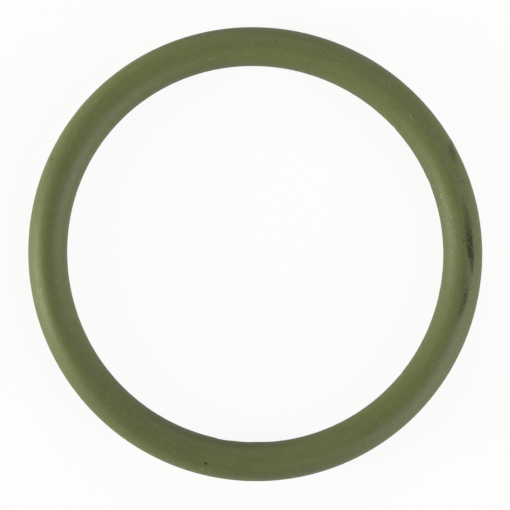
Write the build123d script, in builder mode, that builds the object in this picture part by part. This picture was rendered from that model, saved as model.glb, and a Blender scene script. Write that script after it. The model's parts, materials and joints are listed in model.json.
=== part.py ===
"""Moulded rubber o-ring, lying flat.

A round cord section is turned once about the ring's axis. The two halves of the mould
meet on the ring's mid plane, so a thin line of trimmed flash runs round the inside and
the outside of the section. Millimetres, +Z along the ring's axis, origin at its centre.
"""

import os

from build123d import *

# Driving dimensions, in millimetres
inside_diameter = 29.5  # across the bore of the free ring, flash left out
section_diameter = 3.0  # of the round cord
flash_height = 0.03  # how far the trimmed flash stands proud of the cord
flash_width = 0.12  # of the trimmed flash, along the ring's axis

# Sizes worked out from them
section_radius = section_diameter / 2
centreline_radius = inside_diameter / 2 + section_radius
flash_span = section_diameter + 2 * flash_height

# The ring: the cord's round section with the flash across its middle, turned about Z
with BuildPart() as o_ring:
    with BuildSketch(Plane.XZ) as section:
        with Locations((centreline_radius, 0)):
            Circle(section_radius)
            Rectangle(flash_span, flash_width)
    revolve(axis=Axis.Z)

o_ring.part.label = "o_ring"

os.makedirs("parts", exist_ok=True)
export_step(o_ring.part, "parts/o_ring.step")
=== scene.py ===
"""Looks of a moulded rubber o-ring that lies on a white table.

The ring is one mesh: a round section with a thin, unevenly trimmed flash line, swept round a
centreline that is a little out of round, as a soft ring's is when it lies loose. The rubber is
olive green, with fine mould grain, paler and duller areas that are partly its own patches and
partly painted highlights and painted shade, a dark rubbed streak, specks of dirt and a little dust.
Metres throughout, in the solid model's own frame: +Z along the ring's axis, +Y up in the picture.
"""

import json
import math
from collections import namedtuple

import bmesh
import bpy
from bpy.props import FloatProperty, FloatVectorProperty, IntProperty, PointerProperty
from mathutils import Matrix, Quaternion, Vector


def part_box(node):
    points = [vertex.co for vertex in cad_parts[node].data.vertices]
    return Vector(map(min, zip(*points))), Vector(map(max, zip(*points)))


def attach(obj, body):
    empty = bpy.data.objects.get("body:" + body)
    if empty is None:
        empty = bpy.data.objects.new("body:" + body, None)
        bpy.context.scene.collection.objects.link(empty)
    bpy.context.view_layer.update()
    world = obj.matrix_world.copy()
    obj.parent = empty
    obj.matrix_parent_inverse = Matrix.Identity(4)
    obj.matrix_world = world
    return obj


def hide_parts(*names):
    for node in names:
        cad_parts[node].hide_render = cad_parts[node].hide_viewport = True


bl_info = {
    "name": "Moulded o-ring",
    "version": (1, 0, 0),
    "blender": (4, 5, 0),
    "location": "3D View > Sidebar > O-ring",
    "description": "Builds a moulded rubber o-ring and the white table that it lies on",
    "category": "Object",
}

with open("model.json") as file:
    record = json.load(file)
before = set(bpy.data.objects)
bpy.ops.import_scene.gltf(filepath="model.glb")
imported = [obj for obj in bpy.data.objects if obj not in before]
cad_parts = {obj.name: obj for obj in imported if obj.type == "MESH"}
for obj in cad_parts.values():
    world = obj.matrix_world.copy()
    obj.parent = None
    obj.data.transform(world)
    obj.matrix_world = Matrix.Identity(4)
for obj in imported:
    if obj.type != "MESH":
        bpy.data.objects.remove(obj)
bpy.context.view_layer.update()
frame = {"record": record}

# Sizes of the solid model, in metres
MILLIMETRE = 0.001
LOWEST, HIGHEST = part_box("o_ring")
SEATS = {mount["name"]: mount["dims"] for mount in frame["record"]["mounts"]}
BORE_RADIUS = SEATS["inner_seat"]["r_mm"] * MILLIMETRE
OUTER_RADIUS = SEATS["outer_seat"]["r_mm"] * MILLIMETRE
FLASH_WIDTH = SEATS["outer_seat"]["length_mm"] * MILLIMETRE
SECTION_DIAMETER = HIGHEST.z - LOWEST.z
FLASH_HEIGHT = (OUTER_RADIUS - BORE_RADIUS - SECTION_DIAMETER) / 2
CENTRELINE_RADIUS = (OUTER_RADIUS + BORE_RADIUS) / 2

# How the surface is measured: angles round the ring start at +X and run towards +Y, and angles
# round the section start at the outer flash line and run up over the top to the inner one
TURN = 2 * math.pi
SEAM_ANGLE = math.radians(90)
RING_LENGTH = TURN * CENTRELINE_RADIUS / MILLIMETRE
SECTION_GIRTH = math.pi * SECTION_DIAMETER / MILLIMETRE
RING_MAP = "ring_map"

# The map for baked textures: the ring's skin cut into strips that lie one above the other
BAKE_MAP = "OFBake"
BAKE_STRIPS = 3
BAKE_MARGIN = 0.008

# Marks on the ring, with angles in degrees and sizes in millimetres
Trim = namedtuple("Trim", "ring_angle outside half_angle height")
Speck = namedtuple("Speck", "ring_angle section_angle radius strength")
# Paler and darker areas: partly the rubber's own patches, partly painted highlights and painted
# shade
ToneAndPaintedLight = namedtuple("ToneAndPaintedLight", "ring_angle section_angle reach_along reach_across lightness")
Streak = namedtuple("Streak", "first_angle last_angle path half_width cover")

FLASH_TRIMS = (
    Trim(29.5, True, 1.6, 0.022),
    Trim(-89.0, False, 4.0, 0.024),
    Trim(-100.0, False, 3.0, -0.045),
    Trim(22.5, False, 1.8, -0.024),
    Trim(42.4, False, 0.9, -0.03),
    Trim(-39.5, False, 0.9, -0.03),
)

DARK_SPECKS = (
    Speck(-103.2, 69.6, 0.14, 1.0),
    Speck(155.1, 34.7, 0.11, 0.75),
    Speck(19.3, 54.0, 0.12, 0.4),
    Speck(3.7, 89.0, 0.09, 0.5),
    Speck(-0.8, 65.0, 0.15, 0.6),
    Speck(64.4, 103.6, 0.06, 0.4),
    Speck(66.2, 66.1, 0.08, 0.55),
    Speck(71.5, 73.0, 0.06, 0.4),
    Speck(84.5, 73.6, 0.07, 0.4),
    Speck(93.6, 64.7, 0.07, 0.45),
    Speck(131.7, 54.5, 0.06, 0.35),
    Speck(150.6, 34.3, 0.06, 0.4),
    Speck(156.6, 79.1, 0.07, 0.5),
    Speck(164.0, 91.2, 0.07, 0.45),
    Speck(-151.4, 54.7, 0.06, 0.35),
    Speck(-143.9, 66.5, 0.07, 0.45),
    Speck(-113.2, 83.2, 0.07, 0.4),
    Speck(-45.8, 71.9, 0.06, 0.35),
    Speck(-38.0, 72.9, 0.07, 0.5),
)

DUST_SPECKS = (
    Speck(16.9, 137.6, 0.06, 0.9),
    Speck(10.8, 116.6, 0.055, 0.55),
    Speck(8.3, 28.0, 0.06, 0.35),
    Speck(49.6, 107.2, 0.05, 0.25),
    Speck(51.4, 68.7, 0.09, 0.12),
    Speck(95.3, 78.5, 0.05, 0.25),
    Speck(103.3, 118.5, 0.055, 0.35),
    Speck(103.3, 32.4, 0.055, 0.3),
    Speck(116.4, 98.1, 0.05, 0.25),
    Speck(132.8, 123.7, 0.06, 0.2),
    Speck(136.1, 55.8, 0.14, 0.12),
    Speck(137.2, 52.5, 0.045, 0.3),
    Speck(145.9, 87.7, 0.05, 0.35),
    Speck(-175.1, 55.4, 0.06, 0.25),
    Speck(-170.3, 60.9, 0.07, 0.35),
    Speck(-138.9, 83.4, 0.05, 0.3),
    Speck(-133.6, 82.6, 0.05, 0.35),
    Speck(-120.0, 121.0, 0.06, 0.3),
    Speck(-109.5, 86.7, 0.05, 0.2),
    Speck(-103.8, 47.6, 0.07, 0.22),
    Speck(-96.7, 80.8, 0.05, 0.22),
    Speck(-53.2, 86.6, 0.05, 0.45),
    Speck(-30.2, 77.6, 0.05, 0.25),
)

# Paler and duller areas of the skin, partly the rubber's own patches and partly painted highlights
# and painted shade, with their reach along the ring and round the section
TONES_AND_PAINTED_LIGHT = (
    ToneAndPaintedLight(-117, 74, 34, 26, -0.16),
    ToneAndPaintedLight(-80, 50, 38, 26, -0.10),
    # painted shade along the lower inner edge
    ToneAndPaintedLight(-118, 162, 44, 34, -0.14),
    ToneAndPaintedLight(-122, 113, 30, 16, -0.06),
    ToneAndPaintedLight(152, 73, 28, 28, -0.13),
    # painted highlight on the left outer side, and painted shade on the crest beside it
    ToneAndPaintedLight(-173, 63, 18, 16, 0.13),
    ToneAndPaintedLight(-176, 91, 24, 18, -0.08),
    ToneAndPaintedLight(92, 121, 70, 27, 0.12),
    ToneAndPaintedLight(116, 47, 34, 20, 0.09),
    ToneAndPaintedLight(52, 87, 28, 26, 0.06),
    # painted highlight on the inner side at the right
    ToneAndPaintedLight(14, 108, 30, 19, 0.13),
    ToneAndPaintedLight(9, 58, 34, 15, -0.10),
    ToneAndPaintedLight(5, 88, 20, 12, -0.06),
    ToneAndPaintedLight(48, 146, 32, 30, 0.08),
    # painted shade further down the inner side at the right
    ToneAndPaintedLight(4, 134, 34, 16, -0.10),
    # painted highlight along the outer side at the left
    ToneAndPaintedLight(168, 25, 60, 20, 0.10),
)

# A pale scratch, from its first end to its last one
SCRATCH = (Speck(42.0, 89.0, 0.035, 0.3), Speck(40.5, 94.5, 0.035, 0.3))

# Along each streak, from 0 to 1: its section angle, half width and cover
RUBBED_STREAKS = (
    Streak(
        first_angle=17.0,
        last_angle=-6.5,
        path=(
            (0, 72),
            (0.13, 73.5),
            (0.21, 72),
            (0.3, 70),
            (0.47, 71.5),
            (0.55, 70.5),
            (0.7, 70),
            (0.76, 67),
            (0.87, 63.5),
            (1, 62),
        ),
        half_width=(
            (0, 0.15),
            (0.13, 0.22),
            (0.21, 0.3),
            (0.3, 0.42),
            (0.42, 0.48),
            (0.55, 0.45),
            (0.7, 0.45),
            (0.76, 0.41),
            (0.81, 0.35),
            (0.87, 0.25),
            (1, 0.15),
        ),
        cover=(
            (0, 0),
            (0.13, 0.33),
            (0.21, 0.48),
            (0.38, 0.58),
            (0.47, 0.75),
            (0.55, 0.94),
            (0.76, 0.96),
            (0.81, 0.72),
            (0.87, 0.66),
            (0.94, 0.4),
            (1, 0),
        ),
    ),
    Streak(
        first_angle=-0.5,
        last_angle=-21.0,
        path=(
            (0, 76),
            (0.24, 77),
            (0.32, 76),
            (0.41, 75),
            (0.51, 74),
            (0.61, 73.5),
            (0.69, 75),
            (1, 78),
        ),
        half_width=(
            (0, 0.3),
            (0.24, 0.45),
            (0.32, 0.52),
            (0.41, 0.48),
            (0.51, 0.39),
            (0.69, 0.38),
            (1, 0.3),
        ),
        cover=(
            (0, 0),
            (0.08, 0.13),
            (0.24, 0.14),
            (0.32, 0.32),
            (0.41, 0.4),
            (0.51, 0.66),
            (0.61, 0.66),
            (0.69, 0.48),
            (0.76, 0.48),
            (0.83, 0.22),
            (0.9, 0.12),
            (1, 0),
        ),
    ),
    Streak(
        first_angle=31.0,
        last_angle=23.5,
        path=((0, 35), (0.4, 40), (0.65, 47), (1, 48)),
        half_width=((0, 0.3), (0.25, 0.5), (0.6, 0.55), (0.85, 0.4), (1, 0.2)),
        cover=((0, 0), (0.13, 0.14), (0.33, 0.5), (0.5, 0.52), (0.7, 0.44), (0.85, 0.2), (1, 0)),
    ),
)

# A mark fades out from its core to its edge, in shares of its radius
MARK_CORE = 0.5
MARK_EDGE = 1.3

# Specks strewn over the whole ring: cells in a millimetre, the share of them that has a speck, and
# the largest radius in millimetres
Scatter = namedtuple("Scatter", "per_millimetre share radius")

STREWN_DIRT = Scatter(0.9, 0.1, 0.07)
STREWN_DUST = Scatter(1.1, 0.16, 0.06)
SMOOTH_BUMPS = Scatter(6.5, 0.9, 0.068)

# Noise in the rubber, as waves in a millimetre, levels of detail and how rough the detail is
Pattern = namedtuple("Pattern", "per_millimetre detail roughness")

PATCHES = Pattern(0.35, 3.0, 0.5)
BLOTS = Pattern(1.3, 2.0, 0.5)
BLOOM_FILM = Pattern(2.6, 3.0, 0.7)
FLOW_LINES = Pattern(1.0, 3.0, 0.5)
MOULD_GRAIN = Pattern(3.4, 4.0, 0.9)
PIGMENT = Pattern(3.0, 2.0, 0.7)
GRIT = Pattern(5.0, 3.0, 0.6)
RAGGED_EDGE = Pattern(9.0, 2.0, 0.5)
NOISE_MIDDLE = 0.5

# Noise levels between which a colour comes in, and how much of it there is at most
WARM_LEVELS = (0.5, 0.72)
COOL_LEVELS = (0.48, 0.28)
BLOOM_LEVELS = (0.42, 0.75)
WARM_SHARE = 0.5
COOL_SHARE = 0.5
BLOOM_SHARE = 0.24

# How strongly each noise changes the lightness, and the red and blue pigments on top of it
PATCH_LIGHTNESS = 0.15
FLOW_LIGHTNESS = 0.2
GRAIN_LIGHTNESS = 0.48
RED_SPREAD = 0.25
BLUE_SPREAD = 0.95

# Flow lines: how fast they change along the ring, and how close they lie round the section
FLOW_WALK = 1.3
FLOW_CLOSENESS = 2.2

# Dirt and dust: how close the grit lies along the ring, the film's least thickness and what the grit
# adds to it, the cover at which grains form, the strength of each kind, and how ragged specks are
GRIT_CLOSENESS = 0.8
FILM_LEAST = 0.55
FILM_GRIT = 0.9
FILM_LEVELS = (0.25, 0.75)
GRAIN_SPREAD = 1.3
GRAIN_LEVELS = (0.85, 1.4)
GRAIN_STRENGTH = 0.8
STREWN_DIRT_STRENGTH = 0.4
STREWN_DUST_STRENGTH = 0.2
RAGGED_MILLIMETRES = 0.2

# Finish: changes of the roughness, heights as shares of the grain's height, and the glints' strength
PATCH_ROUGHNESS = 0.1
GRAIN_ROUGHNESS = 0.2
BUMP_SMOOTHNESS = 0.25
DIRT_ROUGHNESS = 0.3
BUMP_HEIGHT = 0.5
DUST_HEIGHT = 0.8
SPECK_DEPTH = 1.5
GLINT_STRENGTH = 0.84

# Lamps, with angles in degrees and sizes in metres
Softbox = namedtuple("Softbox", "name azimuth elevation distance width height roll colour")

SOFTBOXES = (
    Softbox("key", 188.5, 14.8, 0.40, 0.068, 0.248, -9.0, (0.96, 0.98, 0.74)),
    Softbox("fill", -26.7, 26.2, 0.36, 0.43, 0.28, 20.0, (0.99, 1.0, 0.94)),
    Softbox("back", 82.0, 32.4, 0.22, 0.17, 0.085, -18.0, (0.99, 0.99, 0.77)),
)

# Middle of the picture, from the ring's axis
PICTURE_MIDDLE = (-0.0063 * MILLIMETRE, -0.0869 * MILLIMETRE)
WHITE = (1.0, 1.0, 1.0, 1.0)


class RingSettings(bpy.types.PropertyGroup):
    """Sizes of the ring."""

    centreline_radius: FloatProperty(
        name="Centreline radius",
        description="From the ring's axis to the middle of its section",
        default=CENTRELINE_RADIUS,
        subtype="DISTANCE",
        unit="LENGTH",
    )
    section_diameter: FloatProperty(
        name="Section diameter",
        description="Thickness of the round section",
        default=SECTION_DIAMETER,
        subtype="DISTANCE",
        unit="LENGTH",
    )
    flash_height: FloatProperty(
        name="Flash height",
        description="How far the trimmed flash stands proud of the section",
        default=FLASH_HEIGHT,
        subtype="DISTANCE",
        unit="LENGTH",
    )
    flash_width: FloatProperty(
        name="Flash width",
        description="Width of the trimmed flash along the ring's axis",
        default=FLASH_WIDTH,
        subtype="DISTANCE",
        unit="LENGTH",
    )
    two_lobe_height: FloatProperty(
        name="Two-lobe height",
        description="How far the loose ring is oval",
        default=0.060 * MILLIMETRE,
        subtype="DISTANCE",
        unit="LENGTH",
    )
    two_lobe_direction: FloatProperty(
        name="Two-lobe direction",
        description="Angle round the ring at which the oval is widest",
        default=math.radians(-46),
        subtype="ANGLE",
        unit="ROTATION",
    )
    three_lobe_height: FloatProperty(
        name="Three-lobe height",
        description="How far the loose ring is three-cornered",
        default=0.026 * MILLIMETRE,
        subtype="DISTANCE",
        unit="LENGTH",
    )
    three_lobe_direction: FloatProperty(
        name="Three-lobe direction",
        description="Angle round the ring of one of the three corners",
        default=math.radians(19),
        subtype="ANGLE",
        unit="ROTATION",
    )
    four_lobe_height: FloatProperty(
        name="Four-lobe height",
        description="How far the loose ring is four-cornered",
        default=0.012 * MILLIMETRE,
        subtype="DISTANCE",
        unit="LENGTH",
    )
    four_lobe_direction: FloatProperty(
        name="Four-lobe direction",
        description="Angle round the ring of one of the four corners",
        default=math.radians(35),
        subtype="ANGLE",
        unit="ROTATION",
    )
    ripple_height: FloatProperty(
        name="Ripple height",
        description="How uneven the moulded skin is",
        default=0.02 * MILLIMETRE,
        subtype="DISTANCE",
        unit="LENGTH",
    )
    steps_around: IntProperty(
        name="Steps around",
        description="Faces round the ring, a multiple of the strips of the bake map",
        default=600,
        min=60,
    )
    steps_across: IntProperty(
        name="Steps across",
        description="Faces round the section",
        default=128,
        min=16,
    )


class RubberSettings(bpy.types.PropertyGroup):
    """Colours and finish of the rubber."""

    olive: FloatVectorProperty(
        name="Olive",
        description="Main colour of the rubber",
        default=(0.0974, 0.1121, 0.0409),
        subtype="COLOR",
        min=0,
        max=1,
    )
    brown_tinge: FloatVectorProperty(
        name="Brown tinge",
        description="Colour of the warmer patches",
        default=(0.106, 0.104, 0.036),
        subtype="COLOR",
        min=0,
        max=1,
    )
    green_tinge: FloatVectorProperty(
        name="Green tinge",
        description="Colour of the greener patches",
        default=(0.083, 0.117, 0.038),
        subtype="COLOR",
        min=0,
        max=1,
    )
    grime: FloatVectorProperty(
        name="Grime",
        description="Colour of the dark grains in the rubbed streaks and of the dark specks",
        default=(0.018, 0.014, 0.009),
        subtype="COLOR",
        min=0,
        max=1,
    )
    brown_film: FloatVectorProperty(
        name="Brown film",
        description="Colour of the thin film of dirt round the rubbed streaks",
        default=(0.034, 0.0255, 0.0095),
        subtype="COLOR",
        min=0,
        max=1,
    )
    dust: FloatVectorProperty(
        name="Dust",
        description="Colour of the dust specks and pale scuffs",
        default=(0.480, 0.490, 0.400),
        subtype="COLOR",
        min=0,
        max=1,
    )
    roughness: FloatProperty(
        name="Roughness",
        description="Roughness of the clean moulded skin",
        default=0.59,
        subtype="FACTOR",
        min=0,
        max=1,
    )
    bloom: FloatVectorProperty(
        name="Bloom",
        description="Colour of the thin pale bloom on the skin",
        default=(0.150, 0.162, 0.085),
        subtype="COLOR",
        min=0,
        max=1,
    )
    shine: FloatProperty(
        name="Shine",
        description="Strength of the skin's reflection",
        default=0.47,
        subtype="FACTOR",
        min=0,
        max=1,
    )
    grain_height: FloatProperty(
        name="Grain height",
        description="Depth of the fine mould grain",
        default=0.012 * MILLIMETRE,
        subtype="DISTANCE",
        unit="LENGTH",
    )


class StageSettings(bpy.types.PropertyGroup):
    """Table, lamps and camera."""

    table_radius: FloatProperty(
        name="Table radius",
        description="From the ring's axis to the table's edge",
        default=2.0,
        subtype="DISTANCE",
        unit="LENGTH",
    )
    key_power: FloatProperty(
        name="Key power",
        description="Power of the tall narrow softbox on the left",
        default=2.4,
        unit="POWER",
    )
    fill_power: FloatProperty(
        name="Fill power",
        description="Power of the wide softbox on the right",
        default=1.53,
        unit="POWER",
    )
    back_power: FloatProperty(
        name="Back power",
        description="Power of the softbox behind the ring",
        default=0.215,
        unit="POWER",
    )
    sky_level: FloatProperty(
        name="Sky level",
        description="Brightness of the even light from above",
        default=0.07,
    )
    camera_distance: FloatProperty(
        name="Camera distance",
        description="From the camera to the ring's mid plane",
        default=0.28,
        subtype="DISTANCE",
        unit="LENGTH",
    )
    picture_width: FloatProperty(
        name="Picture width",
        description="Width of the picture at the ring's mid plane",
        default=39.913 * MILLIMETRE,
        subtype="DISTANCE",
        unit="LENGTH",
    )


class Signal:
    """One output of a node. Arithmetic on signals adds Math nodes to their tree."""

    def __init__(self, nodes, socket):
        self.nodes = nodes
        self.socket = socket

    def __getitem__(self, output):
        return Signal(self.nodes, self.socket.node.outputs[output])

    def __add__(self, other):
        return self.nodes.maths("ADD", self, other)

    def __radd__(self, other):
        return self.nodes.maths("ADD", other, self)

    def __sub__(self, other):
        return self.nodes.maths("SUBTRACT", self, other)

    def __rsub__(self, other):
        return self.nodes.maths("SUBTRACT", other, self)

    def __mul__(self, other):
        return self.nodes.maths("MULTIPLY", self, other)

    def __rmul__(self, other):
        return self.nodes.maths("MULTIPLY", other, self)

    def __truediv__(self, other):
        return self.nodes.maths("DIVIDE", self, other)

    def __rtruediv__(self, other):
        return self.nodes.maths("DIVIDE", other, self)

    def __abs__(self):
        return self.nodes.maths("ABSOLUTE", self)


class Nodes:
    """A node tree that is being filled, laid out in columns from left to right."""

    COLUMN_WIDTH = 200
    ROW_HEIGHT = 180

    def __init__(self, tree):
        self.tree = tree
        self.columns = {}
        self.filled = {}
        tree.nodes.clear()

    def add(self, kind, settings=None, sockets=None, output=0):
        """Makes a node, sets it up, then gives its sockets their values or links."""
        node = self.tree.nodes.new(kind)
        for name, value in (settings or {}).items():
            if name == "points":
                self.set_points(node.mapping, value)
            else:
                setattr(node, name, value)
        column = 0
        for key, value in (sockets or {}).items():
            if isinstance(value, Signal):
                self.tree.links.new(value.socket, node.inputs[key])
                column = max(column, self.columns[value.socket.node.name] + 1)
            else:
                node.inputs[key].default_value = value
        row = self.filled.get(column, 0)
        self.columns[node.name] = column
        self.filled[column] = row + 1
        node.location = (column * self.COLUMN_WIDTH, -row * self.ROW_HEIGHT)
        return Signal(self, node.outputs[output]) if node.outputs else None

    @staticmethod
    def set_points(mapping, points):
        """Gives a curve node its points."""
        line = mapping.curves[0]
        while len(line.points) < len(points):
            line.points.new(1, 1)
        for point, place in zip(line.points, points):
            point.location = place
        mapping.update()

    def maths(self, operation, *values):
        return self.add("ShaderNodeMath", {"operation": operation}, dict(enumerate(values)))

    def sine(self, angle):
        return self.maths("SINE", angle)

    def cosine(self, angle):
        return self.maths("COSINE", angle)

    def larger(self, first, second):
        return self.maths("MAXIMUM", first, second)

    def fade(self, value, nothing, full):
        """0 at and beyond nothing, 1 at and beyond full, with a smooth change between them."""
        sockets = {"Value": value, "From Min": nothing, "From Max": full}
        return self.add("ShaderNodeMapRange", {"interpolation_type": "SMOOTHSTEP"}, sockets)

    def curve(self, value, points):
        return self.add("ShaderNodeFloatCurve", {"points": points}, {"Value": value})

    def vector(self, x, y, z):
        return self.add("ShaderNodeCombineXYZ", None, {"X": x, "Y": y, "Z": z})

    def parts(self, vector):
        return self.add("ShaderNodeSeparateXYZ", None, {0: vector})

    def vectors(self, operation, first, second):
        return self.add("ShaderNodeVectorMath", {"operation": operation}, {0: first, 1: second})

    def scaled(self, vector, factor):
        sockets = {0: vector, "Scale": factor}
        return self.add("ShaderNodeVectorMath", {"operation": "SCALE"}, sockets)

    def distance(self, first, second):
        return self.vectors("DISTANCE", first, second)["Value"]

    def product(self, first, second):
        return self.vectors("DOT_PRODUCT", first, second)["Value"]

    def noise(self, place, scale, detail=2.0, roughness=0.5):
        sockets = {"Vector": place, "Scale": scale, "Detail": detail, "Roughness": roughness}
        return self.add("ShaderNodeTexNoise", None, sockets)

    def swing(self, noise, strength):
        """A noise's departure from its middle, up to half this strength each way."""
        return (noise - NOISE_MIDDLE) * strength

    def mixed(self, factor, first, second):
        """A colour between two colours."""
        sockets = {0: factor, 6: first, 7: second}
        return self.add("ShaderNodeMix", {"data_type": "RGBA"}, sockets, output=2)


def opaque(colour):
    """A colour socket's four numbers."""
    return (*colour, 1.0)


def settings_in_tree(tree, settings):
    """Gives a geometry tree one input for each setting, and returns them by the setting's key."""
    inputs = {}
    for key in settings.__annotations__:
        setting = settings.bl_rna.properties[key]
        kind = "NodeSocketInt" if setting.type == "INT" else "NodeSocketFloat"
        inputs[key] = tree.interface.new_socket(setting.name, in_out="INPUT", socket_type=kind)
    return inputs


def flash_profile(nodes, size, angle, lean):
    """Height of the trimmed flash above the round section, at each point of the skin."""
    softness = 0.02 * MILLIMETRE
    unevenness = 0.25
    waves_per_radius = 9.0
    half_width = size["Flash width"] / 2
    level = abs(nodes.sine(lean)) * size["Section diameter"] / 2
    on_flash = nodes.fade(level, half_width + softness, half_width - softness)
    outside = nodes.maths("GREATER_THAN", nodes.cosine(lean), 0.0)
    walk = nodes.vector(nodes.cosine(angle), nodes.sine(angle), outside)
    uneven = nodes.noise(walk, waves_per_radius, detail=3.0)
    height = size["Flash height"] * (1 - unevenness * uneven)
    for trim in FLASH_TRIMS:
        away = nodes.maths("WRAP", angle - math.radians(trim.ring_angle), math.pi, -math.pi)
        near = nodes.fade(abs(away), math.radians(trim.half_angle), 0.0)
        side = outside if trim.outside else 1 - outside
        height = height + near * side * (trim.height * MILLIMETRE)
    return on_flash * height


def ring_tree(settings):
    """A geometry tree that bends a fine grid into the ring, and its inputs by the setting's key."""
    crowding = 0.62
    ripples_per_metre = 1500.0
    weld = 0.001 * MILLIMETRE
    tree = bpy.data.node_groups.new("moulded_ring", "GeometryNodeTree")
    inputs = settings_in_tree(tree, settings)
    inputs["rubber"] = tree.interface.new_socket(
        "Rubber", in_out="INPUT", socket_type="NodeSocketMaterial"
    )
    tree.interface.new_socket("Ring", in_out="OUTPUT", socket_type="NodeSocketGeometry")
    nodes = Nodes(tree)
    size = nodes.add("NodeGroupInput")

    # Angles round the ring and round the section, the second crowded towards the flash lines
    grid = nodes.add(
        "GeometryNodeMeshGrid",
        None,
        {"Vertices X": size["Steps around"] + 1, "Vertices Y": size["Steps across"] + 1},
    )
    share = nodes.parts(grid["UV Map"])
    angle = share["X"] * TURN + SEAM_ANGLE
    even = share["Y"] * TURN
    lean = even - nodes.sine(even * 2) * (crowding / 2)

    # Centreline of the loose ring
    radius = size["Centreline radius"]
    for lobes, name in ((2, "Two-lobe"), (3, "Three-lobe"), (4, "Four-lobe")):
        turned = (angle - size[f"{name} direction"]) * lobes
        radius = radius + nodes.cosine(turned) * size[f"{name} height"]

    # Skin: the round section, its flash and the moulded ripple
    across = nodes.cosine(lean)
    outwards = nodes.vector(
        across * nodes.cosine(angle), across * nodes.sine(angle), nodes.sine(lean)
    )
    centre = nodes.vector(radius * nodes.cosine(angle), radius * nodes.sine(angle), 0.0)
    section_radius = size["Section diameter"] / 2
    bare = nodes.vectors("ADD", centre, nodes.scaled(outwards, section_radius))
    ripple = nodes.noise(bare, ripples_per_metre, detail=2.0) - 0.5
    rise = flash_profile(nodes, size, angle, lean) + ripple * size["Ripple height"]
    skin = nodes.vectors("ADD", bare, nodes.scaled(outwards, rise))

    # Maps: the two angles as shares of a turn, and the strips for baked textures
    round_section = lean / TURN
    strips = share["X"] * float(BAKE_STRIPS)
    face_settings = {"data_type": "FLOAT", "domain": "FACE"}
    on_face = nodes.add("GeometryNodeFieldOnDomain", face_settings, {"Value": strips})
    strip = nodes.maths("FLOOR", on_face)
    inset = 1 - 2 * BAKE_MARGIN
    strip_x = (strips - strip) * inset + BAKE_MARGIN
    strip_y = (strip + round_section * inset + BAKE_MARGIN) / float(BAKE_STRIPS)
    mesh = grid
    for name, place in (
        (RING_MAP, nodes.vector(share["X"], round_section, 0.0)),
        (BAKE_MAP, nodes.vector(strip_x, strip_y, 0.0)),
    ):
        corner_settings = {"data_type": "FLOAT2", "domain": "CORNER"}
        sockets = {"Geometry": mesh, "Name": name, "Value": place}
        mesh = nodes.add("GeometryNodeStoreNamedAttribute", corner_settings, sockets)

    # Shape, closed seams and finish
    shaped = nodes.add("GeometryNodeSetPosition", None, {"Geometry": mesh, "Position": skin})
    closed = nodes.add("GeometryNodeMergeByDistance", None, {"Geometry": shaped, "Distance": weld})
    smooth = nodes.add("GeometryNodeSetShadeSmooth", None, {0: closed})
    real = nodes.add("GeometryNodeRealizeInstances", None, {"Geometry": smooth})
    sockets = {"Geometry": real, "Material": size["Rubber"]}
    rubber = nodes.add("GeometryNodeSetMaterial", None, sockets)
    nodes.add("NodeGroupOutput", None, {"Ring": rubber})
    return tree, inputs


def surface_place(ring_angle, section_angle):
    """Millimetres along the ring from the seam and round the section, for a place in degrees."""
    share = (math.radians(ring_angle) - SEAM_ANGLE) / TURN % 1
    return share * RING_LENGTH, section_angle / 360 * SECTION_GIRTH


def skin_tone_and_painted_light(nodes, along, girth):
    """How much paler or, below 0, darker the skin is than its plain colour."""
    # The areas are partly the rubber's own patches and partly painted highlights and painted shade.
    tone_and_light = 0.0
    for area in TONES_AND_PAINTED_LIGHT:
        centre, level = surface_place(area.ring_angle, area.section_angle)
        away = nodes.maths("WRAP", along - centre, RING_LENGTH / 2, -RING_LENGTH / 2)
        away = away / (area.reach_along / 360 * RING_LENGTH)
        off = (girth - level) / (area.reach_across / 360 * SECTION_GIRTH)
        tone_and_light = nodes.fade(away * away + off * off, 1.0, 0.0) * area.lightness + tone_and_light
    return tone_and_light


def speck_mask(nodes, spot, specks):
    """Strength of the given specks, 0 between them."""
    mask = 0.0
    for speck in specks:
        place = (*surface_place(speck.ring_angle, speck.section_angle), 0.0)
        off = nodes.distance(spot, place)
        near = nodes.fade(off, speck.radius * MARK_EDGE, speck.radius * MARK_CORE)
        mask = nodes.larger(near * speck.strength, mask)
    return mask


def scratch_mask(nodes, spot, first, last):
    """Strength of a fine scratch between two places."""
    start = Vector((*surface_place(first.ring_angle, first.section_angle), 0.0))
    end = Vector((*surface_place(last.ring_angle, last.section_angle), 0.0))
    run = end - start
    offset = nodes.vectors("SUBTRACT", spot, start)
    share = nodes.product(offset, run / run.length_squared)
    inside = nodes.maths("MINIMUM", nodes.larger(share, 0.0), 1.0)
    off = nodes.distance(offset, nodes.scaled(tuple(run), inside))
    return nodes.fade(off, first.radius * MARK_EDGE, first.radius * MARK_CORE) * first.strength


def scattered_mask(nodes, place, scatter):
    """1 on specks that are strewn over the ring, 0 between them."""
    smallest = 0.2
    core = 0.4
    sockets = {"Vector": place, "Scale": scatter.per_millimetre}
    cells = nodes.add("ShaderNodeTexVoronoi", None, sockets)
    luck = nodes.add("ShaderNodeSeparateColor", None, {"Color": cells["Color"]})
    there = nodes.maths("LESS_THAN", luck["Red"], scatter.share)
    reach = (luck["Green"] + smallest) * (scatter.radius * scatter.per_millimetre)
    return nodes.fade(cells["Distance"] / reach, 1.0, core) * there


def streak_cover(nodes, along, girth, streak):
    """How thickly a rubbed streak covers the skin."""
    solid_width = 0.2
    solid_length = 0.47
    start = surface_place(streak.first_angle, 0)[0]
    length = math.radians(streak.first_angle - streak.last_angle) / TURN * RING_LENGTH
    way = (start - along) / length
    centre = nodes.curve(way, [(share, angle / 360) for share, angle in streak.path])
    off = abs(girth - centre * SECTION_GIRTH) / nodes.curve(way, streak.half_width)
    ends = nodes.fade(abs(way - 0.5), 0.5, solid_length)
    return nodes.fade(off, 1.0, solid_width) * nodes.curve(way, streak.cover) * ends


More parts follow.
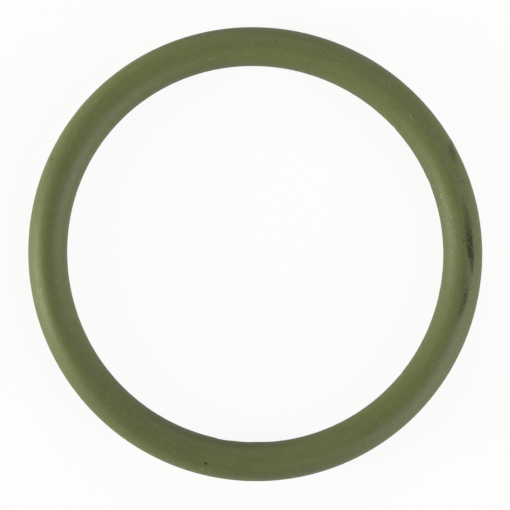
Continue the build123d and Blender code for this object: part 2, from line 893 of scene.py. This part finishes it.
def rubber_material(settings):
    """Olive rubber with mould grain, colour patches, rubbed streaks, specks and dust."""
    material = bpy.data.materials.new("olive_rubber")
    material.use_nodes = True
    nodes = Nodes(material.node_tree)
    here = nodes.add("ShaderNodeTexCoord", output="Object")
    place = nodes.scaled(here, 1 / MILLIMETRE)
    share = nodes.parts(nodes.add("ShaderNodeUVMap", {"uv_map": RING_MAP}))
    along = share["X"] * RING_LENGTH
    girth = share["Y"] * SECTION_GIRTH

    # Slow patches of colour in the compound, a thin bloom and fine flow lines along the ring
    patches = nodes.noise(place, *PATCHES)
    blots = nodes.noise(place, *BLOTS)
    film = nodes.noise(place, *BLOOM_FILM)
    turn = share["X"] * TURN
    walk = nodes.vector(
        nodes.cosine(turn) * FLOW_WALK, nodes.sine(turn) * FLOW_WALK, girth * FLOW_CLOSENESS
    )
    flow = nodes.noise(walk, *FLOW_LINES)
    warm = nodes.fade(blots, *WARM_LEVELS) * WARM_SHARE
    cool = nodes.fade(blots, *COOL_LEVELS) * COOL_SHARE
    pale = nodes.fade(film, *BLOOM_LEVELS) * BLOOM_SHARE
    colour = nodes.mixed(warm, opaque(settings.olive), opaque(settings.brown_tinge))
    colour = nodes.mixed(cool, colour, opaque(settings.green_tinge))
    colour = nodes.mixed(pale, colour, opaque(settings.bloom))

    # Grain of the mould's skin, with its pigments a little uneven, and the paler and duller areas,
    # partly the rubber's own patches and partly painted highlights and painted shade
    grain = nodes.noise(place, *MOULD_GRAIN)
    pigment = nodes.parts(nodes.noise(place, *PIGMENT)["Color"])
    shade = 1 + nodes.swing(patches, PATCH_LIGHTNESS) + nodes.swing(flow, FLOW_LIGHTNESS)
    shade = shade + nodes.swing(grain, GRAIN_LIGHTNESS) + skin_tone_and_painted_light(nodes, along, girth)
    red = shade + nodes.swing(pigment["X"], RED_SPREAD)
    blue = shade + nodes.swing(pigment["Z"], BLUE_SPREAD)
    colour = nodes.vectors("MULTIPLY", colour, nodes.vector(red, shade, blue))

    # Dirt: rubbed streaks, made of a brown film and dark grains, and dark specks
    grit = nodes.noise(nodes.vector(along * GRIT_CLOSENESS, girth, 0.0), *GRIT)
    ragged = nodes.noise(place, *RAGGED_EDGE)["Color"]
    jitter = nodes.vectors("SUBTRACT", ragged, (NOISE_MIDDLE,) * 3)
    jitter = nodes.scaled(jitter, RAGGED_MILLIMETRES)
    spot = nodes.vectors("ADD", nodes.vector(along, girth, 0.0), jitter)
    cover = 0.0
    for streak in RUBBED_STREAKS:
        cover = nodes.larger(streak_cover(nodes, along, girth, streak), cover)
    thickness = nodes.fade(grit, *FILM_LEVELS) * FILM_GRIT + FILM_LEAST
    smear = nodes.maths("MINIMUM", cover * thickness, 1.0)
    colour = nodes.mixed(smear, colour, opaque(settings.brown_film))
    grains = nodes.fade(cover + nodes.swing(grit, GRAIN_SPREAD), *GRAIN_LEVELS) * GRAIN_STRENGTH
    specks = speck_mask(nodes, spot, DARK_SPECKS)
    strewn = scattered_mask(nodes, place, STREWN_DIRT) * STREWN_DIRT_STRENGTH
    dark = nodes.larger(grains, nodes.larger(specks, strewn))
    colour = nodes.mixed(dark, colour, opaque(settings.grime))

    # Dust, and the scratch
    strewn = scattered_mask(nodes, place, STREWN_DUST) * STREWN_DUST_STRENGTH
    dust = nodes.larger(speck_mask(nodes, spot, DUST_SPECKS), strewn)
    dust = nodes.larger(dust, scratch_mask(nodes, spot, *SCRATCH))
    colour = nodes.mixed(dust, colour, opaque(settings.dust))

    # Finish: satin skin with tiny smoother bumps that glint, and duller dirt
    glints = scattered_mask(nodes, place, SMOOTH_BUMPS) * GLINT_STRENGTH
    dirt = nodes.larger(smear, nodes.larger(dark, dust))
    rough = settings.roughness + nodes.swing(patches, PATCH_ROUGHNESS)
    rough = rough + nodes.swing(grain, GRAIN_ROUGHNESS)
    rough = rough - glints * BUMP_SMOOTHNESS + dirt * DIRT_ROUGHNESS
    height = grain + glints * BUMP_HEIGHT + dust * DUST_HEIGHT - specks * SPECK_DEPTH
    sockets = {"Height": height, "Distance": settings.grain_height}
    bump = nodes.add("ShaderNodeBump", None, sockets)
    sockets = {
        "Base Color": colour,
        "Roughness": rough,
        "Normal": bump,
        "Specular IOR Level": settings.shine,
    }
    surface = nodes.add("ShaderNodeBsdfPrincipled", None, sockets)
    nodes.add("ShaderNodeOutputMaterial", None, {"Surface": surface})
    return material


def link_object(name, data):
    """A new object at the origin, in the scene's collection."""
    made = bpy.data.objects.new(name, data)
    bpy.context.scene.collection.objects.link(made)
    return made


class MESH_OT_moulded_ring(bpy.types.Operator):
    """Build the rubber ring in place of the plain solid"""

    bl_idname = "mesh.moulded_ring"
    bl_label = "Moulded ring"
    bl_options = {"REGISTER", "UNDO"}

    def execute(self, context):
        settings = context.scene.ring_settings
        rubber = rubber_material(context.scene.rubber_settings)
        tree, inputs = ring_tree(settings)
        ring = link_object("rubber_ring", bpy.data.meshes.new("rubber_ring"))
        modifier = ring.modifiers.new("Moulding", "NODES")
        modifier.node_group = tree
        for key in settings.__annotations__:
            modifier[inputs[key].identifier] = getattr(settings, key)
        modifier[inputs["rubber"].identifier] = rubber
        evaluated = ring.evaluated_get(context.evaluated_depsgraph_get())
        ring.data = bpy.data.meshes.new_from_object(evaluated)
        ring.modifiers.remove(modifier)
        if len(ring.data.polygons) != settings.steps_around * settings.steps_across:
            raise RuntimeError("the ring's mesh did not come out whole")
        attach(ring, "root")
        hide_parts("o_ring")
        return {"FINISHED"}


def table_material():
    """White table: bright to the eye, plain white to the light that it sends back to the ring."""
    shown = 0.92
    mirrored = 0.7
    paint = (0.8, 0.8, 0.8)
    cool_white = (0.92, 0.9, 1.0)
    material = bpy.data.materials.new("white_table")
    material.use_nodes = True
    material.cycles.emission_sampling = "NONE"
    nodes = Nodes(material.node_tree)
    ray = nodes.add("ShaderNodeLightPath", output="Is Camera Ray")
    bounced = nodes.larger(ray["Is Glossy Ray"], ray["Is Transmission Ray"])
    painted = nodes.add("ShaderNodeBsdfDiffuse", None, {"Color": opaque(paint)})
    cool = nodes.add("ShaderNodeEmission", None, {"Color": opaque(cool_white)})
    bright = nodes.add("ShaderNodeEmission", None, {"Color": WHITE})
    sockets = {0: bounced * mirrored, 1: painted, 2: cool}
    reflected = nodes.add("ShaderNodeMixShader", None, sockets)
    top = nodes.add("ShaderNodeMixShader", None, {0: ray * shown, 1: reflected, 2: bright})
    clear = nodes.add("ShaderNodeBsdfTransparent")
    below = nodes.add("ShaderNodeNewGeometry", output="Backfacing")
    surface = nodes.add("ShaderNodeMixShader", None, {0: below, 1: top, 2: clear})
    nodes.add("ShaderNodeOutputMaterial", None, {"Surface": surface})
    return material


def table_mesh(radius, level):
    """A round table top."""
    shape = bmesh.new()
    bmesh.ops.create_circle(
        shape, cap_ends=True, segments=96, radius=radius, matrix=Matrix.Translation((0, 0, level))
    )
    mesh = bpy.data.meshes.new("white_table")
    shape.to_mesh(mesh)
    shape.free()
    return mesh


def stand_softbox(softbox, power):
    """An area lamp that faces the ring from its direction."""
    lamp = bpy.data.lights.new(f"{softbox.name}_softbox", "AREA")
    lamp.shape = "RECTANGLE"
    lamp.size = softbox.width
    lamp.size_y = softbox.height
    lamp.energy = power
    lamp.color = softbox.colour
    azimuth = math.radians(softbox.azimuth)
    elevation = math.radians(softbox.elevation)
    level = math.cos(elevation)
    towards = Vector((math.cos(azimuth) * level, math.sin(azimuth) * level, math.sin(elevation)))
    stand = link_object(lamp.name, lamp)
    stand.location = towards * softbox.distance
    roll = Quaternion((0, 0, 1), math.radians(softbox.roll))
    stand.rotation_euler = (towards.to_track_quat("Z", "Y") @ roll).to_euler()


def even_sky(level):
    """A sky that is white to the eye, and dim to the light that falls on the ring."""
    mirrored = 0.04
    world = bpy.data.worlds.new("even_sky")
    world.use_nodes = True
    nodes = Nodes(world.node_tree)
    ray = nodes.add("ShaderNodeLightPath", output="Is Camera Ray")
    seen = nodes.larger(ray, ray["Is Transmission Ray"])
    strength = level + ray["Is Glossy Ray"] * mirrored + seen * (1 - level)
    sky = nodes.add("ShaderNodeBackground", None, {"Color": WHITE, "Strength": strength})
    nodes.add("ShaderNodeOutputWorld", None, {"Surface": sky})
    return world


def overhead_camera(distance, picture_width):
    """A camera that looks straight down at the ring."""
    camera = bpy.data.cameras.new("camera")
    camera.lens = camera.sensor_width * distance / picture_width
    eye = link_object("camera", camera)
    eye.location = (*PICTURE_MIDDLE, distance)
    return eye


class SCENE_OT_white_table(bpy.types.Operator):
    """Set the white table, the softboxes and the camera"""

    bl_idname = "scene.white_table"
    bl_label = "White table"
    bl_options = {"REGISTER", "UNDO"}

    def execute(self, context):
        settings = context.scene.stage_settings
        mesh = table_mesh(settings.table_radius, LOWEST.z)
        mesh.materials.append(table_material())
        link_object("white_table", mesh)
        for softbox in SOFTBOXES:
            stand_softbox(softbox, getattr(settings, f"{softbox.name}_power"))
        context.scene.world = even_sky(settings.sky_level)
        eye = overhead_camera(settings.camera_distance, settings.picture_width)
        context.scene.camera = eye
        context.scene.view_settings.view_transform = "Standard"
        return {"FINISHED"}


class VIEW3D_PT_moulded_ring(bpy.types.Panel):
    """Sizes and colours of the ring and its stage, with the buttons that build them"""

    bl_idname = "VIEW3D_PT_moulded_ring"
    bl_label = "Moulded o-ring"
    bl_space_type = "VIEW_3D"
    bl_region_type = "UI"
    bl_category = "O-ring"

    def draw(self, context):
        groups = (
            (context.scene.ring_settings, None),
            (context.scene.rubber_settings, MESH_OT_moulded_ring),
            (context.scene.stage_settings, SCENE_OT_white_table),
        )
        for settings, operator in groups:
            for key in settings.__annotations__:
                self.layout.prop(settings, key)
            if operator:
                self.layout.operator(operator.bl_idname)


CLASSES = (
    RingSettings,
    RubberSettings,
    StageSettings,
    MESH_OT_moulded_ring,
    SCENE_OT_white_table,
    VIEW3D_PT_moulded_ring,
)


def register():
    for kind in CLASSES:
        bpy.utils.register_class(kind)
    bpy.types.Scene.ring_settings = PointerProperty(type=RingSettings)
    bpy.types.Scene.rubber_settings = PointerProperty(type=RubberSettings)
    bpy.types.Scene.stage_settings = PointerProperty(type=StageSettings)


def unregister():
    del bpy.types.Scene.stage_settings
    del bpy.types.Scene.rubber_settings
    del bpy.types.Scene.ring_settings
    for kind in reversed(CLASSES):
        bpy.utils.unregister_class(kind)


def main():
    register()
    bpy.ops.mesh.moulded_ring()
    bpy.ops.scene.white_table()


if __name__ == "__main__":
    main()
